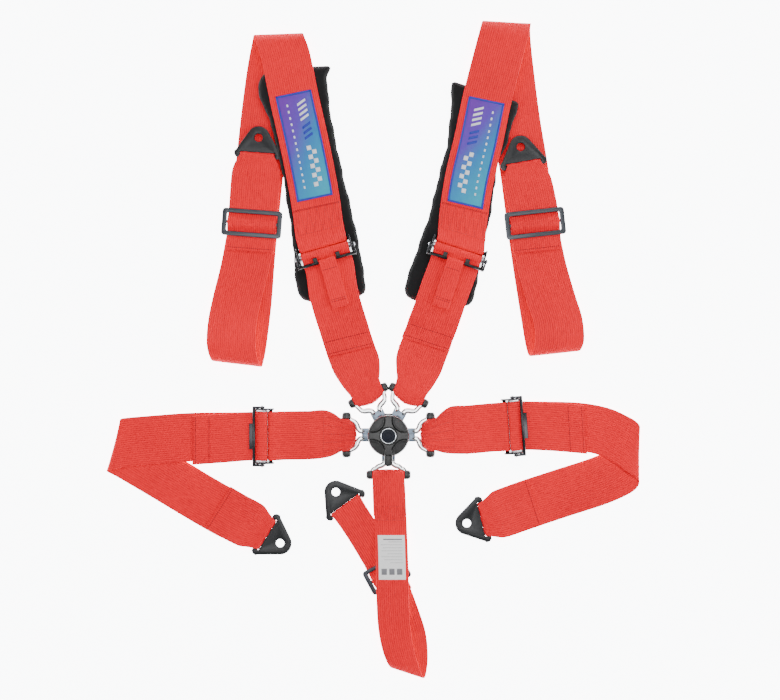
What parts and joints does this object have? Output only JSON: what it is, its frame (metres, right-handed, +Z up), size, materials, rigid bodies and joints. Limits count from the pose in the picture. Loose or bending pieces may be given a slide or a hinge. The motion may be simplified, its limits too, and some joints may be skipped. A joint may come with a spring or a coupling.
{
  "type": "five-point racing harness",
  "caption": "Racing harness with a turn-to-release cam-lock buckle, wide webbing belts, shoulder pads, tilt adjusters and bolt-in brackets.",
  "frame": {"origin": "the buckle's axis at its flat back, on the floor the harness lies on", "axes": "+X to the right as laid out, +Y from the buckle towards the shoulder anchors, +Z up from the floor"},
  "size_m": [0.8364, 1.0294, 0.0378],
  "materials": {
    "red_webbing": "woven polyester",
    "pad_fabric": "padded black nylon",
    "patch_weave": "embroidered, violet to teal",
    "label_cloth": "printed cloth, no text",
    "chrome_steel": "polished",
    "bright_frame": "nickel plated",
    "sleeve_plastic": "moulded",
    "black_lever": "black nickel",
    "black_plate": "black phosphate",
    "grey_slide": "grey phosphate",
    "knurled_steel": "knurled",
    "knob_plastic": "moulded, satin",
    "cap_metal": "polished ring",
    "housing_alloy": "black",
    "inner_steel": "zinc plated"
  },
  "bodies": {
    "buckle": {"buckle_base": "housing_alloy", "buckle_cover": "housing_alloy", "housing_screws": "inner_steel", "spindle": "inner_steel", "retaining_ring": "inner_steel", "crotch_rivet": "inner_steel", "tongue_crotch": "chrome_steel", "sleeve_crotch": "sleeve_plastic", "latch_spring": "inner_steel"},
    "knob": {"knob": "knob_plastic", "knob_cap": "cap_metal", "cam_rotor": "inner_steel", "torsion_spring": "inner_steel"},
    "latch": {"latch_ring": "inner_steel", "latch_pins": "inner_steel"},
    "tongue_shoulder_l": {"tongue_shoulder_l": "chrome_steel", "sleeve_shoulder_l": "sleeve_plastic"},
    "tongue_shoulder_r": {"tongue_shoulder_r": "chrome_steel", "sleeve_shoulder_r": "sleeve_plastic"},
    "tongue_lap_l": {"tongue_lap_l": "chrome_steel", "sleeve_lap_l": "sleeve_plastic"},
    "tongue_lap_r": {"tongue_lap_r": "chrome_steel", "sleeve_lap_r": "sleeve_plastic"},
    "belt_shoulder_l": {"chest_strap_l": "red_webbing", "shoulder_strap_l": "red_webbing", "shoulder_pad_l": "pad_fabric", "pad_patch_l": "patch_weave", "shoulder_frame_l": "bright_frame", "shoulder_slide_l": "grey_slide"},
    "bracket_shoulder_l": {"shoulder_bracket_l": "black_plate"},
    "lever_shoulder_l": {"shoulder_lever_l": "black_lever"},
    "bar_shoulder_l": {"shoulder_bar_l": "knurled_steel"},
    "tab_shoulder_l": {"pull_tab_l": "red_webbing"},
    "belt_shoulder_r": {"chest_strap_r": "red_webbing", "shoulder_strap_r": "red_webbing", "shoulder_pad_r": "pad_fabric", "pad_patch_r": "patch_weave", "shoulder_frame_r": "bright_frame", "shoulder_slide_r": "grey_slide"},
    "bracket_shoulder_r": {"shoulder_bracket_r": "black_plate"},
    "lever_shoulder_r": {"shoulder_lever_r": "black_lever"},
    "bar_shoulder_r": {"shoulder_bar_r": "knurled_steel"},
    "tab_shoulder_r": {"pull_tab_r": "red_webbing"},
    "belt_lap_l": {"lap_short_strap_l": "red_webbing", "lap_strap_l": "red_webbing", "lap_frame_l": "bright_frame"},
    "bracket_lap_l": {"lap_bracket_l": "black_plate"},
    "lever_lap_l": {"lap_lever_l": "black_lever"},
    "bar_lap_l": {"lap_bar_l": "knurled_steel"},
    "belt_lap_r": {"lap_short_strap_r": "red_webbing", "lap_strap_r": "red_webbing", "lap_frame_r": "bright_frame"},
    "bracket_lap_r": {"lap_bracket_r": "black_plate"},
    "lever_lap_r": {"lap_lever_r": "black_lever"},
    "bar_lap_r": {"lap_bar_r": "knurled_steel"},
    "belt_crotch": {"crotch_strap": "red_webbing", "crotch_label": "label_cloth", "crotch_slide": "grey_slide"},
    "bracket_crotch": {"crotch_bracket": "black_plate"}
  },
  "joints": [
    {"name": "knob_turn", "type": "hinge", "parent": "buckle", "child": "knob", "pos_m": [0, 0, 0.031], "axis": [0, 0, 1], "range_deg": [0, 60], "stiffness_Nm_per_rad": 0.4},
    {"name": "latch_lift", "type": "slide", "parent": "buckle", "child": "latch", "axis": [0, 0, 1], "range_m": [0, 0.006], "deforming": ["latch_spring"]},
    {"name": "release_shoulder_l", "type": "slide", "parent": "buckle", "child": "tongue_shoulder_l", "axis": [-0.454, 0.891, 0], "range_m": [0, 0.0145]},
    {"name": "release_shoulder_r", "type": "slide", "parent": "buckle", "child": "tongue_shoulder_r", "axis": [0.454, 0.891, 0], "range_m": [0, 0.0145]},
    {"name": "release_lap_l", "type": "slide", "parent": "buckle", "child": "tongue_lap_l", "axis": [-1, 0, 0], "range_m": [0, 0.0145]},
    {"name": "release_lap_r", "type": "slide", "parent": "buckle", "child": "tongue_lap_r", "axis": [1, 0, 0], "range_m": [0, 0.0145]},
    {"name": "swing_shoulder_l", "type": "hinge", "parent": "tongue_shoulder_l", "child": "belt_shoulder_l", "pos_m": [-0.03087, 0.06059, 0.008], "axis": [0.891, 0.454, 0], "range_deg": [0, 30]},
    {"name": "anchor_shoulder_l", "type": "hinge", "parent": "belt_shoulder_l", "child": "bracket_shoulder_l", "pos_m": [-0.2052, 0.4376, 0.0065], "axis": [0.9976, -0.0698, 0], "range_deg": [0, 65]},
    {"name": "lever_shoulder_l", "type": "hinge", "parent": "belt_shoulder_l", "child": "lever_shoulder_l", "pos_m": [-0.09835, 0.28428, 0.0259], "axis": [-0.9613, -0.2756, 0], "range_deg": [0, 40]},
    {"name": "grip_shoulder_l", "type": "slide", "parent": "belt_shoulder_l", "child": "bar_shoulder_l", "axis": [0.2756, -0.9613, 0], "range_m": [0, 0.0015]},
    {"name": "tab_shoulder_l", "type": "hinge", "parent": "lever_shoulder_l", "child": "tab_shoulder_l", "pos_m": [-0.09477, 0.27178, 0.0255], "axis": [-0.9613, -0.2756, 0], "range_deg": [0, 50]},
    {"name": "swing_shoulder_r", "type": "hinge", "parent": "tongue_shoulder_r", "child": "belt_shoulder_r", "pos_m": [0.03087, 0.06059, 0.008], "axis": [0.891, -0.454, 0], "range_deg": [0, 30]},
    {"name": "anchor_shoulder_r", "type": "hinge", "parent": "belt_shoulder_r", "child": "bracket_shoulder_r", "pos_m": [0.2118, 0.4235, 0.0065], "axis": [0.9848, 0.1736, 0], "range_deg": [0, 65]},
    {"name": "lever_shoulder_r", "type": "hinge", "parent": "belt_shoulder_r", "child": "lever_shoulder_r", "pos_m": [0.10778, 0.283, 0.0259], "axis": [-0.9511, 0.309, 0], "range_deg": [0, 40]},
    {"name": "grip_shoulder_r", "type": "slide", "parent": "belt_shoulder_r", "child": "bar_shoulder_r", "axis": [-0.309, -0.9511, 0], "range_m": [0, 0.0015]},
    {"name": "tab_shoulder_r", "type": "hinge", "parent": "lever_shoulder_r", "child": "tab_shoulder_r", "pos_m": [0.10376, 0.27063, 0.0255], "axis": [-0.9511, 0.309, 0], "range_deg": [0, 50]},
    {"name": "swing_lap_l", "type": "hinge", "parent": "tongue_lap_l", "child": "belt_lap_l", "pos_m": [-0.064, 0, 0.008], "axis": [0, 1, 0], "range_deg": [0, 30]},
    {"name": "anchor_lap_l", "type": "hinge", "parent": "belt_lap_l", "child": "bracket_lap_l", "pos_m": [-0.1929, -0.155, 0.0065], "axis": [-0.5299, -0.848, 0], "range_deg": [0, 65]},
    {"name": "lever_lap_l", "type": "hinge", "parent": "belt_lap_l", "child": "lever_lap_l", "pos_m": [-0.197, -0.002, 0.0139], "axis": [0, 1, 0], "range_deg": [0, 40]},
    {"name": "grip_lap_l", "type": "slide", "parent": "belt_lap_l", "child": "bar_lap_l", "axis": [-1, 0, 0], "range_m": [0, 0.0015]},
    {"name": "swing_lap_r", "type": "hinge", "parent": "tongue_lap_r", "child": "belt_lap_r", "pos_m": [0.064, 0, 0.008], "axis": [0, -1, 0], "range_deg": [0, 30]},
    {"name": "anchor_lap_r", "type": "hinge", "parent": "belt_lap_r", "child": "bracket_lap_r", "pos_m": [0.1493, -0.1318, 0.0065], "axis": [-0.2419, 0.9703, 0], "range_deg": [0, 65]},
    {"name": "lever_lap_r", "type": "hinge", "parent": "belt_lap_r", "child": "lever_lap_r", "pos_m": [0.1965, 0.01364, 0.0139], "axis": [0.0698, -0.9976, 0], "range_deg": [0, 40]},
    {"name": "grip_lap_r", "type": "slide", "parent": "belt_lap_r", "child": "bar_lap_r", "axis": [0.9976, 0.0698, 0], "range_m": [0, 0.0015]},
    {"name": "swing_crotch", "type": "hinge", "parent": "buckle", "child": "belt_crotch", "pos_m": [0, -0.062, 0.008], "axis": [-1, 0, 0], "range_deg": [0, 30]},
    {"name": "anchor_crotch", "type": "hinge", "parent": "belt_crotch", "child": "bracket_crotch", "pos_m": [-0.0661, -0.1117, 0.0065], "axis": [0.8049, 0.5934, 0], "range_deg": [0, 65]}
  ],
  "couplings": [
    {"joint": "latch_lift", "follows": "knob_turn", "m_per_rad": 0.005729},
    {"joint": "release_shoulder_l", "follows": "knob_turn", "m_per_rad": 0.013845},
    {"joint": "release_shoulder_r", "follows": "knob_turn", "m_per_rad": 0.013845},
    {"joint": "release_lap_l", "follows": "knob_turn", "m_per_rad": 0.013845},
    {"joint": "release_lap_r", "follows": "knob_turn", "m_per_rad": 0.013845},
    {"joint": "lever_shoulder_l", "follows": "grip_shoulder_l", "rad_per_m": 465.38},
    {"joint": "lever_shoulder_r", "follows": "grip_shoulder_r", "rad_per_m": 465.38},
    {"joint": "lever_lap_l", "follows": "grip_lap_l", "rad_per_m": 465.38},
    {"joint": "lever_lap_r", "follows": "grip_lap_r", "rad_per_m": 465.38}
  ]
}
